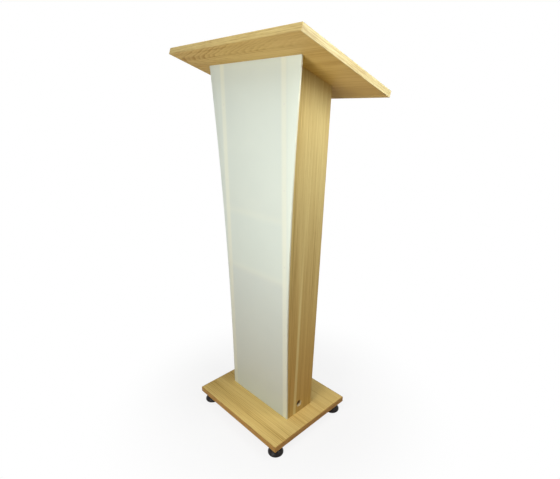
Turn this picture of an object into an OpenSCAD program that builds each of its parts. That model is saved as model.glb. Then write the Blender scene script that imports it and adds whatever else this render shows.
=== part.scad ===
// Presentation lectern: two tapered side panels and an opal front sheet stand between
// a base board on levelling feet and a top board that slopes down towards the speaker.
// Millimetres, +Z up. The audience is at -Y and the speaker at +Y, and left and right
// are as the audience sees them. The origin lies on the floor, under the centre of the
// lectern's outer box.

/* [Boards] */
// Thickness of the oak-faced boards
board_t = 18; // [16:0.5:25]
// Thickness of the edge strips
edging_t = 2; // [1:0.1:3]
// Rounding along the edge strips
edging_r = 1.5; // [0.5:0.1:3]

/* [Base] */
// Width of the base board
base_w = 380; // [340:1:480]
// Depth of the base board
base_d = 316; // [280:1:420]
// Distance from the base's front edge back to the face of the front sheet
base_front = 104; // [70:1:130]

/* [Column] */
// Width over the side panels
column_w = 266; // [220:1:300]
// Depth of a side panel at the base
panel_foot_d = 105; // [95:1:140]
// Lean of the side panels' rear edge, in degrees
rear_lean = 3.5; // [0:0.1:6]

/* [Front sheet] */
// Thickness of the front sheet
sheet_t = 5; // [3:0.5:8]
// Height of the front sheet's face
sheet_h = 1052; // [950:1:1150]
// Width of the front sheet at its top
sheet_top_w = 366; // [310:1:420]
// Height at which the front sheet's sides begin to curve out
sheet_straight_h = 140; // [60:1:300]

/* [Top board] */
// Width of the top board
top_w = 518; // [440:1:620]
// Depth of the top board along its slope
top_d = 361; // [320:1:440]
// Overhang of the top board ahead of the front sheet, along its slope
top_front = 90; // [50:1:120]
// Slope of the top board, in degrees
top_tilt = 20; // [10:0.5:28]

/* [Shelves] */
// Height of the lower shelf's top face above the base
lower_shelf_h = 470; // [380:1:540]
// Height of the upper shelf's top face above the base
upper_shelf_h = 650; // [600:1:720]
// Distance from the side panels' rear edge in to a shelf's rear edge
shelf_setback = 12; // [5:1:30]
// Gap between a shelf and the front sheet
shelf_gap = 1; // [0.5:0.5:5]

/* [Cable hole] */
// Diameter of the cable hole
cable_hole_d = 22; // [14:0.5:26]
// Height of the cable hole's centre above the base
cable_hole_h = 31; // [28:1:60]
// Distance from the panel's front edge back to the cable hole's centre
cable_hole_back = 50; // [48:1:57]

/* [Sheet screws] */
// Number of screws up each side of the front sheet
screw_rows = 5; // [2:1:7]
// Height of the lowest screws above the base
screw_first_h = 83; // [60:1:120]
// Distance from the sheet's top down to the highest screws
screw_last_drop = 107; // [90:1:160]
// Diameter of a screw's shank
screw_d = 3; // [2.5:0.1:4]
// Diameter of a screw's countersunk head
screw_head_d = 5.6; // [5:0.1:7.5]
// Length of a screw
screw_l = 25; // [20:1:40]

/* [Cam locks and dowels] */
// Diameter of a cam lock
cam_d = 15; // [12:0.5:16]
// Reach of a cam lock past the axis of its bolt
cam_floor = 4; // [3.5:0.1:6]
// Distance from a joint to the centre of its cam locks
cam_setback = 24; // [18:1:30]
// Diameter of a cam bolt's shank
bolt_d = 6; // [5:0.1:7]
// Diameter of a cam bolt's neck, behind its head
bolt_neck_d = 4; // [3:0.1:4.5]
// Diameter of a cam bolt's threaded end
bolt_thread_d = 5; // [4:0.1:6]
// Diameter of a dowel
dowel_d = 8; // [6:0.5:10]
// Length of a dowel in the edge of a panel
dowel_edge_l = 20; // [14:1:24]
// Wood left beyond a blind hole in the face of a board
hole_cover = 6; // [4:0.5:9]
// Distance from a panel's edges to the cam locks at the base
base_cam_end = 27; // [25:0.5:29]
// Distance from a panel's edges to the dowels at the base
base_dowel_end = 12; // [9:0.5:13]
// Distance from a panel's edges to the cam locks at the top
top_cam_end = 42; // [36:1:55]
// Distance from a shelf's edges to its cam locks
shelf_cam_end = 27; // [22:1:34]
// Clearance round a fixing in its hole
hole_clear = 0.1; // [0.05:0.01:0.2]

/* [Feet] */
// Height of the base's underside above the floor
foot_h = 31; // [29:0.5:40]
// Distance from the base's edges to the axis of a foot
foot_inset = 26; // [24:1:50]
// Diameter of a foot pad
pad_d = 47; // [38:1:56]
// Height of a foot pad's rim
pad_rim_h = 4.5; // [3:0.1:6]
// Chamfer round a foot pad's underside
pad_chamfer = 1; // [0.5:0.1:2]
// Height at which a foot pad's dome meets its neck
pad_dome_h = 16; // [15:0.5:17.5]
// Height of a foot pad
pad_h = 20; // [18.5:0.5:22]
// Diameter of a foot pad's neck
pad_neck_d = 21; // [19:0.5:26]
// Diameter of a stud's thread
stud_d = 10; // [8:1:12]
// Diameter of a stud's neck, above its ball
stud_neck_d = 8; // [6:0.5:9]
// Diameter of a stud's ball
ball_d = 13; // [11:0.5:14]
// Height of the ball's centre above the floor
ball_h = 10; // [9:0.5:11]
// Width of a stud's hexagon across its flats
hex_af = 15; // [13:0.5:19]
// Outer diameter of a threaded insert
insert_d = 16; // [14.5:0.5:20]
// Diameter of a threaded insert's flange
insert_flange_d = 24; // [21:0.5:30]
// Thickness of a threaded insert's flange
insert_flange_t = 1.5; // [1:0.1:2.5]
// Wood left above a threaded insert
insert_cover = 4; // [3:0.5:6]
// Radial clearance of a stud in its insert
stud_clear = 0.05; // [0.02:0.01:0.1]
// Clearance between a stud and its foot pad
pad_clear = 0.4; // [0.3:0.05:0.6]

/* [Hidden] */
$fn = 64;
// Facets of a full circle of the sheet's long side curve
curve_fn = 1800;
// Overrun of a cutting or trimmed shape past the piece
over = 5;

oak = "#c6a563";
oak_edging = "#dfc98f";
opal = "#e6e9e4";
beech = "#d6b583";
zinc = "#b4b7ba";
steel = "#9a9da1";
black = "#1e1c1d";

LEFT = -1;
RIGHT = 1;
sides = [LEFT, RIGHT];
FRONT = -1;
REAR = 1;

// Heights above the floor
base_top_z = foot_h + board_t;
sheet_top_z = base_top_z + sheet_h;

// The outer box, measured from the sheet's face, puts the origin under its middle
edge_round = min(edging_r, edging_t, board_t / 2);
top_front_reach = (top_front - edge_round) * cos(top_tilt) - edge_round * sin(top_tilt) + edge_round;
top_rear_run = (top_d - top_front - edge_round) * cos(top_tilt);
top_rear_reach = top_rear_run + (board_t - edge_round) * sin(top_tilt) + edge_round;
box_front = max(base_front, top_front_reach);
box_rear = max(base_d - base_front, top_rear_reach);
sheet_y = (box_front - box_rear) / 2;
panel_y = sheet_y + sheet_t;
base_y = sheet_y - base_front;

// The side panels
panel_mid_x = (column_w - board_t) / 2;
panel_inner_x = column_w / 2 - board_t;
panel_rear_h = panel_top_h(sheet_t + panel_foot_d);
top_joint_front = sheet_t / cos(top_tilt);
top_joint_rear = (sheet_t + panel_foot_d + panel_rear_h * tan(rear_lean)) / cos(top_tilt);

// The curve of the sheet's sides
sheet_flare = (sheet_top_w - column_w) / 2;
curve_h = sheet_h - sheet_straight_h;
curve_r = (curve_h * curve_h + sheet_flare * sheet_flare) / (2 * sheet_flare);

// The rows of screws
screw_pitch = (sheet_h - screw_first_h - screw_last_drop) / (screw_rows - 1);
screw_head_h = (screw_head_d - screw_d) / 2;

// Cam locks and dowels
cam_h = board_t / 2 + cam_floor;
cam_channel_d = bolt_d + 2 * hole_clear;
cam_slot_l = cam_d * 0.6;
cam_slot_w = 1.6;
cam_slot_depth = 2.5;
bolt_head_l = 4;
bolt_neck_l = 4;
face_hole_depth = board_t - hole_cover;
dowel_chamfer = 1;
base_cam_y = [panel_y + base_cam_end, panel_y + panel_foot_d - base_cam_end];
base_dowel_y = [panel_y + base_dowel_end, panel_y + panel_foot_d - base_dowel_end];
top_cam_s = [top_joint_front + top_cam_end, top_joint_rear - top_cam_end];
top_dowel_s = (top_joint_front + top_joint_rear) / 2;
shelf_heights = [lower_shelf_h, upper_shelf_h];
shelf_y = panel_y + shelf_gap;

// The feet
foot_x = base_w / 2 - foot_inset;
foot_front_y = base_y + foot_inset;
foot_rear_y = base_y + base_d - foot_inset;
insert_l = board_t - insert_cover;
insert_bore_d = stud_d + 2 * stud_clear;
hex_top_h = foot_h - insert_flange_t;
hex_bottom_h = pad_h + pad_clear;
stud_top_h = foot_h + insert_l - pad_clear;
socket_d = ball_d + 2 * pad_clear;
socket_mouth_d = stud_neck_d + 2 * pad_clear;
pad_edge_d = pad_d - 2 * pad_chamfer;
dome_lift = pow(pad_neck_d / 2, 2) + pow(pad_dome_h, 2) - pow(pad_d / 2, 2) - pow(pad_rim_h, 2);
dome_z = dome_lift / (2 * (pad_dome_h - pad_rim_h));
dome_r = sqrt(pow(pad_d / 2, 2) + pow(pad_rim_h - dome_z, 2));

// Height at which a line that leans like the rear edge, from a depth behind the
// sheet's face at the base, meets the top board
function panel_top_h(depth) =
    (sheet_h - depth * tan(top_tilt)) / (1 + tan(rear_lean) * tan(top_tilt));

// Outline of a side panel in Y and Z, drawn in from its front and rear edges
function panel_points(front_in, rear_in) =
    let (
        front = sheet_t + front_in,
        rear = sheet_t + panel_foot_d - rear_in,
        rear_h = panel_top_h(rear)
    ) [
        [sheet_y + front, base_top_z],
        [sheet_y + rear, base_top_z],
        [sheet_y + rear + rear_h * tan(rear_lean), base_top_z + rear_h],
        [sheet_y + front, sheet_top_z - front * tan(top_tilt)]
    ];

// Rear edge of a shelf whose top face is at a height above the base
function shelf_rear_y(h) =
    panel_y + panel_foot_d + (h - board_t) * tan(rear_lean) - shelf_setback;

function shelf_cam_y(h) = [shelf_y + shelf_cam_end, shelf_rear_y(h) - shelf_cam_end];

function shelf_dowel_y(h) = (shelf_y + shelf_rear_y(h)) / 2;

// Frame of the top board: Y runs down the slope from the sheet's face, Z is its normal
module on_slope() {
    translate([0, sheet_y, sheet_top_z]) rotate([-top_tilt, 0, 0]) children();
}

// Frames of the joints: Z runs into the piece that holds the cam, X to the cam's face
module at_base_joint(side, y) {
    translate([side * panel_mid_x, y, base_top_z])
        rotate([0, 0, side == RIGHT ? 180 : 0]) children();
}

module at_top_joint(side, s) {
    on_slope() translate([side * panel_mid_x, s, 0])
        rotate(side == RIGHT ? [0, 180, 0] : [180, 0, 0]) children();
}

module at_shelf_joint(side, y, h) {
    translate([side * panel_inner_x, y, base_top_z + h - board_t / 2])
        rotate([0, 0, side == RIGHT ? 180 : 0]) rotate([0, 90, 0]) children();
}

module base_cam_places(side) {
    for (y = base_cam_y) at_base_joint(side, y) children();
}

module base_dowel_places(side) {
    for (y = base_dowel_y) at_base_joint(side, y) children();
}

module top_cam_places(side) {
    for (s = top_cam_s) at_top_joint(side, s) children();
}

module top_dowel_places(side) {
    at_top_joint(side, top_dowel_s) children();
}

module shelf_cam_places(side, h) {
    for (y = shelf_cam_y(h)) at_shelf_joint(side, y, h) children();
}

module shelf_dowel_places(side, h) {
    at_shelf_joint(side, shelf_dowel_y(h), h) children();
}

// Frame of each screw of the sheet on one side: Z runs back from the sheet's face
module screw_places(side) {
    for (row = [0 : screw_rows - 1])
        translate([side * panel_mid_x, sheet_y, base_top_z + screw_first_h + row * screw_pitch])
            rotate([-90, 0, 0]) children();
}

module foot_place(side, end) {
    translate([side * foot_x, end == FRONT ? foot_front_y : foot_rear_y, 0]) children();
}

module foot_places() {
    for (side = sides, end = [FRONT, REAR]) foot_place(side, end) children();
}

// A cam lock: a drum with a cross recess in its face and a channel for the bolt's head
module cam_lock() {
    difference() {
        translate([board_t / 2 - cam_h, 0, cam_setback])
            rotate([0, 90, 0]) cylinder(d = cam_d, h = cam_h);
        translate([0, 0, cam_setback - cam_d / 2 - over])
            cylinder(d = cam_channel_d, h = cam_d / 2 + over + bolt_head_l / 2 + hole_clear);
        for (turn = [0, 90])
            translate([board_t / 2, 0, cam_setback]) rotate([turn, 0, 0])
                cube([2 * cam_slot_depth, cam_slot_l, cam_slot_w], center = true);
    }
}

// A cam bolt: thread in the face of one board, shank, neck and head in the edge of the other
module cam_bolt() {
    neck_end = cam_setback - bolt_head_l / 2;
    translate([0, 0, -face_hole_depth]) cylinder(d = bolt_thread_d, h = face_hole_depth);
    cylinder(d = bolt_d, h = neck_end - bolt_neck_l);
    cylinder(d = bolt_neck_d, h = neck_end);
    translate([0, 0, neck_end]) cylinder(d = bolt_d, h = bolt_head_l);
}

module cam_drilling() {
    translate([board_t / 2 - cam_h, 0, cam_setback])
        rotate([0, 90, 0]) cylinder(d = cam_d + 2 * hole_clear, h = cam_h + over);
    translate([0, 0, -over]) cylinder(d = cam_channel_d, h = cam_setback + over);
}

module bolt_drilling() {
    translate([0, 0, -face_hole_depth])
        cylinder(d = bolt_thread_d + 2 * hole_clear, h = face_hole_depth + over);
}

module dowel() {
    length = face_hole_depth + dowel_edge_l;
    tip_d = dowel_d - 2 * dowel_chamfer;
    translate([0, 0, -face_hole_depth]) {
        cylinder(d1 = tip_d, d2 = dowel_d, h = dowel_chamfer);
        translate([0, 0, dowel_chamfer]) cylinder(d = dowel_d, h = length - 2 * dowel_chamfer);
        translate([0, 0, length - dowel_chamfer])
            cylinder(d1 = dowel_d, d2 = tip_d, h = dowel_chamfer);
    }
}

module dowel_drilling() {
    translate([0, 0, -face_hole_depth])
        cylinder(d = dowel_d + 2 * hole_clear, h = face_hole_depth + dowel_edge_l);
}

module sheet_screw() {
    cylinder(d1 = screw_head_d, d2 = screw_d, h = screw_head_h);
    cylinder(d = screw_d, h = screw_l);
}

module screw_drilling() {
    translate([0, 0, -over]) cylinder(d = screw_d + 2 * hole_clear, h = screw_l + over);
}

module screw_countersink() {
    cylinder(d1 = screw_head_d, d2 = screw_d, h = screw_head_h);
    screw_drilling();
}

// Rectangle centred on X, from Y = 0, with its four corners rounded
module rounded_rectangle(width, depth, radius) {
    translate([-width / 2, radius]) square([width, depth - 2 * radius]);
    translate([radius - width / 2, 0]) square([width - 2 * radius, depth]);
    for (x = [radius - width / 2, width / 2 - radius], y = [radius, depth - radius])
        translate([x, y]) circle(r = radius);
}

// Outer form of an edged board: width in X, depth in Y from 0, all its edges rounded
module board_envelope(width, depth) {
    intersection() {
        linear_extrude(board_t) rounded_rectangle(width, depth, edge_round);
        translate([0, depth, 0]) rotate([90, 0, 0])
            linear_extrude(depth) rounded_rectangle(width, board_t, edge_round);
        translate([-width / 2, depth / 2, 0]) rotate([90, 0, 90])
            linear_extrude(width) rounded_rectangle(depth, board_t, edge_round);
    }
}

module board_core(width, depth) {
    translate([edging_t - width / 2, edging_t, 0])
        cube([width - 2 * edging_t, depth - 2 * edging_t, board_t]);
}

// A strip along a board's whole front or rear edge
module long_strip(width, depth, end) {
    intersection() {
        board_envelope(width, depth);
        translate([-width / 2, end == FRONT ? 0 : depth - edging_t, 0])
            cube([width, edging_t, board_t]);
    }
}

// A strip along a board's left or right edge, between the long strips
module side_strip(width, depth, side) {
    intersection() {
        board_envelope(width, depth);
        translate([side == LEFT ? -width / 2 : width / 2 - edging_t, edging_t, 0])
            cube([edging_t, depth - 2 * edging_t, board_t]);
    }
}

module on_base() {
    translate([0, base_y, foot_h]) children();
}

module on_top() {
    on_slope() translate([0, -top_front, 0]) children();
}

module base_strip(end) {
    color(oak_edging) on_base() long_strip(base_w, base_d, end);
}

module base_side_strip(side) {
    color(oak_edging) on_base() side_strip(base_w, base_d, side);
}

module top_strip(end) {
    color(oak_edging) on_top() long_strip(top_w, top_d, end);
}

module top_side_strip(side) {
    color(oak_edging) on_top() side_strip(top_w, top_d, side);
}

module base_board() {
    color(oak) difference() {
        on_base() board_core(base_w, base_d);
        for (side = sides) {
            base_cam_places(side) bolt_drilling();
            base_dowel_places(side) dowel_drilling();
        }
        foot_places() translate([0, 0, foot_h - over])
            cylinder(d = insert_d + 2 * hole_clear, h = insert_l + over);
    }
}

module top_board() {
    color(oak) difference() {
        on_top() board_core(top_w, top_d);
        for (side = sides) {
            top_cam_places(side) bolt_drilling();
            top_dowel_places(side) dowel_drilling();
        }
    }
}

// A side panel's full thickness, drawn in from its front and rear edges
module panel_blank(side, front_in, rear_in) {
    translate([side * panel_mid_x - board_t / 2, 0, 0]) rotate([90, 0, 90])
        linear_extrude(board_t) polygon(panel_points(front_in, rear_in));
}

module side_panel(side) {
    difference() {
        panel_blank(side, edging_t, edging_t / cos(rear_lean));
        base_cam_places(side) cam_drilling();
        base_dowel_places(side) dowel_drilling();
        top_cam_places(side) cam_drilling();
        top_dowel_places(side) dowel_drilling();
        for (h = shelf_heights) {
            shelf_cam_places(side, h) bolt_drilling();
            shelf_dowel_places(side, h) dowel_drilling();
        }
        screw_places(side) screw_drilling();
    }
}

module left_side_panel() {
    color(oak) side_panel(LEFT);
}

module right_side_panel() {
    color(oak) difference() {
        side_panel(RIGHT);
        translate([panel_inner_x - over, panel_y + cable_hole_back, base_top_z + cable_hole_h])
            rotate([0, 90, 0]) cylinder(d = cable_hole_d, h = board_t + 2 * over);
    }
}

// Cross-section of an edge strip, its outer face at Y = 0 and both outer corners rounded
module strip_profile() {
    translate([0, -edging_t]) difference() {
        rounded_rectangle(board_t, 2 * edging_t, edge_round);
        translate([-board_t, edging_t]) square([2 * board_t, 2 * edging_t]);
    }
    translate([-board_t / 2, -edging_t]) square([board_t, edging_t - edge_round]);
}

module panel_front_strip(side) {
    color(oak_edging) difference() {
        intersection() {
            panel_blank(side, 0, 0);
            translate([side * panel_mid_x, panel_y, base_top_z - over]) rotate([0, 0, 180])
                linear_extrude(sheet_h + 2 * over) strip_profile();
        }
        screw_places(side) screw_drilling();
    }
}

module panel_rear_strip(side) {
    color(oak_edging) intersection() {
        panel_blank(side, 0, 0);
        translate([side * panel_mid_x, panel_y + panel_foot_d, base_top_z])
            rotate([-rear_lean, 0, 0]) translate([0, 0, -over])
                linear_extrude(sheet_h + 2 * over) strip_profile();
    }
}

module shelf(h) {
    core_d = shelf_rear_y(h) - shelf_y - edging_t;
    color(oak) difference() {
        translate([-panel_inner_x, shelf_y, base_top_z + h - board_t])
            cube([2 * panel_inner_x, core_d, board_t]);
        for (side = sides) {
            shelf_cam_places(side, h) cam_drilling();
            shelf_dowel_places(side, h) dowel_drilling();
        }
    }
}

module shelf_strip(h) {
    color(oak_edging) translate([-panel_inner_x, shelf_rear_y(h), base_top_z + h - board_t / 2])
        rotate([0, 90, 0]) linear_extrude(2 * panel_inner_x) strip_profile();
}

// Face of the front sheet, its sides upright at first and then arcs out to the top
module sheet_outline() {
    difference() {
        translate([-sheet_top_w / 2, 0]) square([sheet_top_w, sheet_h]);
        for (side = sides) {
            translate([side * (column_w / 2 + curve_r), sheet_straight_h])
                circle(r = curve_r, $fn = curve_fn);
            translate([side * (column_w / 2 + curve_r), sheet_straight_h / 2])
                square([2 * curve_r, sheet_straight_h + 2 * over], center = true);
        }
    }
}

module front_sheet() {
    color(opal) difference() {
        translate([0, panel_y, base_top_z]) rotate([90, 0, 0]) linear_extrude(sheet_t) sheet_outline();
        on_slope() translate([-top_w / 2, -over, 0]) cube([top_w, 2 * over + sheet_t, board_t]);
        for (side = sides) screw_places(side) screw_countersink();
    }
}

module front_sheet_screws() {
    color(zinc) for (side = sides) screw_places(side) sheet_screw();
}

module panel_cam_locks() {
    color(zinc) for (side = sides) {
        base_cam_places(side) cam_lock();
        top_cam_places(side) cam_lock();
    }
}

module panel_cam_bolts() {
    color(steel) for (side = sides) {
        base_cam_places(side) cam_bolt();
        top_cam_places(side) cam_bolt();
    }
}

module panel_dowels() {
    color(beech) for (side = sides) {
        base_dowel_places(side) dowel();
        top_dowel_places(side) dowel();
    }
}

module shelf_cam_locks() {
    color(zinc) for (side = sides, h = shelf_heights) shelf_cam_places(side, h) cam_lock();
}

module shelf_cam_bolts() {
    color(steel) for (side = sides, h = shelf_heights) shelf_cam_places(side, h) cam_bolt();
}

module shelf_dowels() {
    color(beech) for (side = sides, h = shelf_heights) shelf_dowel_places(side, h) dowel();
}

// A sleeve in the base with a flange against its underside
module foot_insert() {
    difference() {
        union() {
            translate([0, 0, foot_h]) cylinder(d = insert_d, h = insert_l);
            translate([0, 0, hex_top_h]) cylinder(d = insert_flange_d, h = insert_flange_t);
        }
        translate([0, 0, hex_top_h - over])
            cylinder(d = insert_bore_d, h = insert_l + insert_flange_t + 2 * over);
    }
}

module foot_inserts() {
    color(zinc) foot_places() foot_insert();
}

// A pad with a domed top, a neck and a socket for the stud's ball
module foot_pad(side, end) {
    color(black) foot_place(side, end) difference() {
        union() {
            intersection() {
                translate([0, 0, dome_z]) sphere(r = dome_r);
                union() {
                    cylinder(d1 = pad_edge_d, d2 = pad_d, h = pad_chamfer);
                    translate([0, 0, pad_chamfer]) cylinder(d = pad_d, h = pad_h);
                }
            }
            cylinder(d = pad_neck_d, h = pad_h);
        }
        translate([0, 0, ball_h]) sphere(d = socket_d);
        translate([0, 0, ball_h]) cylinder(d = socket_mouth_d, h = pad_h);
    }
}

// A stud with a ball in the pad, a hexagon under the insert and a thread in it
module foot_stud(side, end) {
    color(steel) foot_place(side, end) {
        translate([0, 0, ball_h]) sphere(d = ball_d);
        translate([0, 0, ball_h]) cylinder(d = stud_neck_d, h = hex_bottom_h - ball_h);
        translate([0, 0, hex_bottom_h])
            cylinder(d = hex_af / cos(30), h = hex_top_h - hex_bottom_h, $fn = 6);
        translate([0, 0, hex_top_h]) cylinder(d = stud_d, h = stud_top_h - hex_top_h);
    }
}

base_board();
base_strip(FRONT);  // base_front_edging
base_strip(REAR);  // base_rear_edging
base_side_strip(LEFT);  // base_left_edging
base_side_strip(RIGHT);  // base_right_edging
left_side_panel();
panel_front_strip(LEFT);  // left_panel_front_edging
panel_rear_strip(LEFT);  // left_panel_rear_edging
right_side_panel();
panel_front_strip(RIGHT);  // right_panel_front_edging
panel_rear_strip(RIGHT);  // right_panel_rear_edging
shelf(lower_shelf_h);  // lower_shelf
shelf_strip(lower_shelf_h);  // lower_shelf_edging
shelf(upper_shelf_h);  // upper_shelf
shelf_strip(upper_shelf_h);  // upper_shelf_edging
top_board();
top_strip(FRONT);  // top_front_edging
top_strip(REAR);  // top_rear_edging
top_side_strip(LEFT);  // top_left_edging
top_side_strip(RIGHT);  // top_right_edging
front_sheet();
front_sheet_screws();
panel_cam_locks();
panel_cam_bolts();
panel_dowels();
shelf_cam_locks();
shelf_cam_bolts();
shelf_dowels();
foot_inserts();
foot_pad(LEFT, FRONT);  // front_left_foot_pad
foot_stud(LEFT, FRONT);  // front_left_foot_stud
foot_pad(RIGHT, FRONT);  // front_right_foot_pad
foot_stud(RIGHT, FRONT);  // front_right_foot_stud
foot_pad(LEFT, REAR);  // rear_left_foot_pad
foot_stud(LEFT, REAR);  // rear_left_foot_stud
foot_pad(RIGHT, REAR);  // rear_right_foot_pad
foot_stud(RIGHT, REAR);  // rear_right_foot_stud
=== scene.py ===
"""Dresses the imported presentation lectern: its finishes, its detailed fittings and the studio round it."""

import logging
import math
from collections.abc import Callable, Iterable
from dataclasses import dataclass
from enum import Enum
from functools import partial
from typing import Any

import bmesh
import bpy
from bpy.types import Material, Mesh, NodeSocket as Socket, NodeTree
from mathutils import Euler, Matrix, Vector


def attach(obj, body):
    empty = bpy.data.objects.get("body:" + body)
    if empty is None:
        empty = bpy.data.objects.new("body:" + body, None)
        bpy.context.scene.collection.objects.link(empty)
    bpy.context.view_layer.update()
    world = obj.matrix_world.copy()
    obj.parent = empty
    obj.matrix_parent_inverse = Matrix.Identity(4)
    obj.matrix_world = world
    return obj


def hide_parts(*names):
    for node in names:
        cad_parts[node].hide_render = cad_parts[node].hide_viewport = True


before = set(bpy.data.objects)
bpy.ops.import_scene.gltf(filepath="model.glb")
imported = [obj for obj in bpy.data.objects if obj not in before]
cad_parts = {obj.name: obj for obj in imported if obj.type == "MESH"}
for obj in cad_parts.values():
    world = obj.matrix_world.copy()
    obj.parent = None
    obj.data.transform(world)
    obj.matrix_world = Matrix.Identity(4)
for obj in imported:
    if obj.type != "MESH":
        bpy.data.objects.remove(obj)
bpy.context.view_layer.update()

Add = Callable[..., Socket]
Pair = tuple[float, float]
Triple = tuple[float, float, float]
Stops = tuple[tuple[float, str], ...]

LOG = logging.getLogger("lectern")
SCENE = bpy.context.scene
MM = 0.001
LECTERN = "lectern"
ENDS = ("front", "rear")
SIDES = ("left", "right")

# Sizes that several sub-assemblies share, in millimetres, as in the CAD source
SHEET_FACE_Y = -78.195
BASE_TOP_Z = 49.0
TOP_TILT = 20.0
REAR_LEAN = 3.5
BOARD_T = 18.0
COLUMN_W = 266.0

# An edge that turns by more degrees than these is shaded sharp, or gets a bevel
SHARP_FROM = 35.0
BEVEL_FROM = 40.0

# A smaller radius than this, in millimetres, lies on the axis of a turned shape
ON_AXIS = 1e-6

# Kinds of node that are used again and again, and settings that go with them
VECTOR_MATH = "ShaderNodeVectorMath"
MAP_RANGE = "ShaderNodeMapRange"
MIX = "ShaderNodeMix"
NOISE = "ShaderNodeTexNoise"
RAMP = "ShaderNodeValToRGB"
SPLIT = "ShaderNodeSeparateXYZ"
COMBINE = "ShaderNodeCombineXYZ"
SOFT = {"interpolation_type": "SMOOTHSTEP"}
COLOUR = {"data_type": "RGBA"}
WHITE = "#ffffff"

# Nearly all of a noise lies between these, and it strays from its middle by about a quarter
NOISE_SPAN = (0.3, 0.7)
NOISE_STRAY = 0.25

# The pitted skin of matt foil throws back less than half of a smooth one's gloss
MATT_FOIL = 0.2

# Light, middle and dark tones of the print, which differ a little from board to board; some also carry
# painted light and shade, as noted at each
UPRIGHT_OAK = ("#ddcc8b", "#ceb878", "#b19655")
# Painted light: the base's print is painted lighter, for the light that falls on it from above
LIT_BASE_OAK = ("#f6d98b", "#e7c678", "#c7a155")
TOP_OAK = ("#d7be78", "#c8ac67", "#ae8c49")
PALE_STRIP = ("#dcc789", "#cbb474", "#aa8a52")
# Painted light: the strips down the top's slope are painted paler, for the strong light on the right one
LIT_SIDE_STRIP = ("#dbd0a1", "#cabc89", "#a99060")
# Painted shade: the base's edge strips are painted deeper, for the shade on them under the overhead light
SHADED_BASE_STRIP = ("#d4af69", "#c19851", "#997239")


def linear(hex_colour: str) -> tuple[float, float, float, float]:
    """Turns an sRGB hex colour into linear light.

    Args:
        hex_colour: Six hex digits after a hash sign.

    Returns:
        Red, green, blue and alpha, each from 0 to 1.
    """
    parts = [int(hex_colour[i:i + 2], 16) / 255 for i in (1, 3, 5)]
    red, green, blue = [p / 12.92 if p <= 0.04045 else ((p + 0.055) / 1.055) ** 2.4 for p in parts]
    return red, green, blue, 1.0


def add_node(
    tree: NodeTree, kind: str, *values: Any, into: dict[str, Any] | None = None, **settings: Any
) -> Socket | None:
    """Adds a node with its settings and links.

    Args:
        tree: Tree that the node goes into.
        kind: Node's class name, or the operation of a Math node in capitals.
        values: Values for the input sockets that the settings leave in use, in order. A socket, or a
            list of them, is linked, and a colour is in hex.
        into: Values for input sockets by name.
        settings: Node's own properties. The word ramp gives the stops of a colour ramp.

    Returns:
        First output socket in use, if there is one.
    """
    if kind.isupper():
        kind, settings["operation"] = "ShaderNodeMath", kind
    node = tree.nodes.new(kind)
    for name, value in settings.items():
        if name != "ramp":
            setattr(node, name, value)
            continue
        stops = node.color_ramp.elements
        while len(stops) < len(value):
            stops.new(1.0)
        for stop, (place, colour) in zip(stops, value):
            stop.position = place
            stop.color = linear(colour)
    filled = list(zip([socket for socket in node.inputs if socket.enabled], values))
    filled += [(node.inputs[name], value) for name, value in (into or {}).items()]
    for socket, value in filled:
        for source in value if isinstance(value, list) else [value]:
            if isinstance(source, Socket):
                tree.links.new(source, socket)
            else:
                socket.default_value = linear(source) if isinstance(source, str) else source
    return next((socket for socket in node.outputs if socket.enabled), None)


def new_material(name: str) -> tuple[Material, Add, Socket]:
    """Starts a material.

    Args:
        name: Material's name.

    Returns:
        The material, a function that adds nodes to it, and Object coordinates.
    """
    material = bpy.data.materials.new(name)
    material.use_nodes = True
    material.node_tree.nodes.clear()
    add = partial(add_node, material.node_tree)
    return material, add, add("ShaderNodeTexCoord").node.outputs["Object"]


def coat(
    material: Material, sockets: dict[str, Any],
    height: Socket, share: float, relief: float, sunk: bool = False,
) -> Material:
    """Ends a material with one Principled shader.

    Args:
        material: Material to end.
        sockets: Values of the shader's sockets by name.
        height: Height of its fine dents.
        share: How much they show, from 0 to 1.
        relief: Their depth in millimetres.
        sunk: Whether a greater height lies deeper.

    Returns:
        The material.
    """
    add = partial(add_node, material.node_tree)
    if share:
        dents = {"Height": height, "Strength": share, "Distance": relief * MM}
        sockets["Normal"] = add("ShaderNodeBump", into=dents, invert=sunk)
    add("ShaderNodeOutputMaterial", add("ShaderNodeBsdfPrincipled", into=sockets))
    return material


class Grain(Enum):
    """Way that wood grain runs, as the turn in degrees that lays it along a pattern's X."""

    ACROSS = (0.0, 0.0, 0.0)
    DEEP = (0.0, 0.0, -90.0)
    UPRIGHT = (0.0, 90.0, 0.0)
    LEANING = (REAR_LEAN, 90.0, 0.0)
    ACROSS_SLOPE = (TOP_TILT, 0.0, 0.0)
    DOWN_SLOPE = (TOP_TILT, 0.0, -90.0)

    def lay(self, add: Add, place: Socket) -> Socket:
        """Lays coordinates along the grain.

        Args:
            add: Adds a node.
            place: Object coordinates.

        Returns:
            Coordinates in millimetres, with the grain along X.
        """
        turn = Euler([math.radians(angle) for angle in self.value])
        return add("ShaderNodeMapping", into={"Vector": place, "Rotation": turn, "Scale": (1 / MM,) * 3})


@dataclass(frozen=True)
class Blotch:
    """A noise stretched along the grain: a blotch's size in millimetres and its weight in the print."""

    length: float
    width: float
    detail: float
    weight: float = 0.0
    roughness: float = 0.6

    def noise(self, add: Add, board: Socket, seed: float = 0.0) -> Socket:
        """Adds the noise.

        Args:
            add: Adds a node.
            board: Coordinates in millimetres, with the grain along X.
            seed: Shift that makes one board differ from the next.

        Returns:
            The noise, mostly within its usual span.
        """
        scaled = add("ShaderNodeMapping", into={
            "Vector": board,
            "Location": (seed, seed, 0.0),
            "Scale": (1 / self.length, 1 / self.width, 1 / self.width),
        })
        return add(NOISE, scaled, 1.0, self.detail, self.roughness)


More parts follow.
